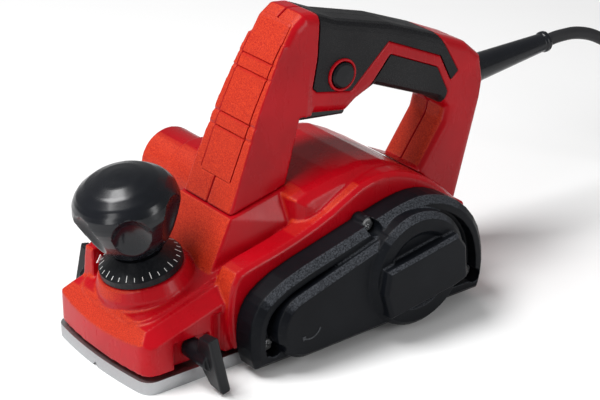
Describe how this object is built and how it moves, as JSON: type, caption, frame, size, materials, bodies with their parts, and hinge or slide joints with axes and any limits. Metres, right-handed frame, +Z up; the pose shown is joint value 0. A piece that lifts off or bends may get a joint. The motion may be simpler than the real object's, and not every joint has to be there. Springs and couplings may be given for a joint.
{
  "type": "electric hand planer",
  "caption": "Electric hand planer with D-shaped handle, trigger switch, belt-driven cutter drum, adjustable front shoe with round depth knob, chip port and mains cord.",
  "frame": {"origin": "on the sole plane and the sole's centreline, straight below the motor axis, on the underside of the rear shoe", "axes": "+X forwards to the depth knob, +Y to the left (belt cover) side, +Z up, the sole at z = 0"},
  "size_m": [0.5444, 0.1714, 0.1595],
  "materials": {
    "red_plastic": "glossy moulded red",
    "black_plastic": "satin moulded black",
    "soft_grip": "fine stippled soft grip",
    "cast_aluminium": "brushed",
    "steel": "machined",
    "zinc_screw": "zinc plated",
    "blade_steel": "ground",
    "copper": "copper winding and segments",
    "lamination": "stacked sheet",
    "carbon": "matt carbon",
    "white_mark": "white",
    "cable": "smooth cord sheath"
  },
  "bodies": {
    "housing_group": {"body_housing": "red_plastic", "handle_left": "red_plastic", "handle_right": "red_plastic", "strut_trim": "red_plastic", "chip_port": "red_plastic", "motor_cap": "red_plastic", "belt_cover": "black_plastic", "switch_body": "black_plastic", "grip_left": "soft_grip", "grip_right": "soft_grip", "lower_grip": "soft_grip", "drive_belt": "soft_grip", "strain_relief": "soft_grip", "plug": "soft_grip", "rear_shoe": "cast_aluminium", "drum_bearing_left": "steel", "drum_bearing_right": "steel", "motor_bearing_left": "steel", "motor_bearing_right": "steel", "field_coil_upper": "copper", "field_coil_lower": "copper", "field_core": "lamination", "brush_front": "carbon", "brush_rear": "carbon", "dial_pointer": "white_mark", "cord_lead": "cable", "cord_coil": "cable", "cord_tail": "cable", "cover_screw_1": "zinc_screw", "cover_screw_2": "zinc_screw", "cover_screw_3": "zinc_screw", "handle_screw_1": "zinc_screw", "handle_screw_2": "zinc_screw", "handle_screw_3": "zinc_screw", "shoe_screw_1": "zinc_screw", "shoe_screw_2": "zinc_screw", "plug_pin_left": "zinc_screw", "plug_pin_right": "zinc_screw"},
    "front_shoe_group": {"front_shoe": "cast_aluminium", "depth_spindle": "steel"},
    "knob_group": {"depth_knob": "black_plastic", "depth_dial": "black_plastic"},
    "drum_group": {"cutter_drum": "cast_aluminium", "blade_a": "blade_steel", "blade_b": "blade_steel", "blade_clamp_a": "steel", "blade_clamp_b": "steel", "drum_pulley": "cast_aluminium"},
    "rotor_group": {"motor_shaft": "steel", "armature_core": "lamination", "armature_winding": "copper", "commutator": "copper", "motor_fan": "black_plastic", "motor_pulley": "steel"},
    "trigger_group": {"trigger": "black_plastic"},
    "button_group": {"lock_button": "black_plastic"},
    "stud_left_group": {"bolt_stud_left": "steel"},
    "wing_left_group": {"wing_bolt_left": "black_plastic"},
    "stud_right_group": {"bolt_stud_right": "steel"},
    "wing_right_group": {"wing_bolt_right": "black_plastic"}
  },
  "joints": [
    {"name": "depth_turn", "type": "hinge", "parent": "housing_group", "child": "knob_group", "pos_m": [0.1202, 0, 0.0495], "axis": [0.2079, 0, 0.9781], "range_deg": [0, 288]},
    {"name": "front_shoe_lift", "type": "slide", "parent": "housing_group", "child": "front_shoe_group", "axis": [0.2079, 0, 0.9781], "range_m": [0, 0.002]},
    {"name": "drum_spin", "type": "hinge", "parent": "housing_group", "child": "drum_group", "pos_m": [0.068, 0, 0.0252], "axis": [0, -1, 0], "continuous": true},
    {"name": "motor_spin", "type": "hinge", "parent": "housing_group", "child": "rotor_group", "pos_m": [0, 0, 0.034], "axis": [0, -1, 0], "continuous": true},
    {"name": "trigger_pull", "type": "hinge", "parent": "housing_group", "child": "trigger_group", "pos_m": [0.031, 0, 0.112], "axis": [0, 1, 0], "range_deg": [0, 6], "stiffness_Nm_per_rad": 0.3, "springref_deg": -11.46},
    {"name": "lock_press", "type": "slide", "parent": "housing_group", "child": "button_group", "axis": [0, -1, 0], "range_m": [0, 0.0022], "stiffness_N_per_m": 300, "springref_m": -0.005},
    {"name": "stud_left_travel", "type": "slide", "parent": "housing_group", "child": "stud_left_group", "axis": [0, 1, 0], "range_m": [0, 0.003]},
    {"name": "wing_left_turn", "type": "hinge", "parent": "stud_left_group", "child": "wing_left_group", "pos_m": [0.1175, 0.05, 0.017], "axis": [0, 1, 0], "range_deg": [0, 1080]},
    {"name": "stud_right_travel", "type": "slide", "parent": "housing_group", "child": "stud_right_group", "axis": [0, -1, 0], "range_m": [0, 0.003]},
    {"name": "wing_right_turn", "type": "hinge", "parent": "stud_right_group", "child": "wing_right_group", "pos_m": [0.1175, -0.05, 0.017], "axis": [0, -1, 0], "range_deg": [0, 1080]}
  ],
  "couplings": [
    {"joint": "depth_turn", "follows": "front_shoe_lift", "rad_per_m": 2513.2},
    {"joint": "motor_spin", "follows": "drum_spin", "ratio": 1.4667},
    {"joint": "wing_left_turn", "follows": "stud_left_travel", "rad_per_m": 6283.1},
    {"joint": "wing_right_turn", "follows": "stud_right_travel", "rad_per_m": 6283.1}
  ]
}
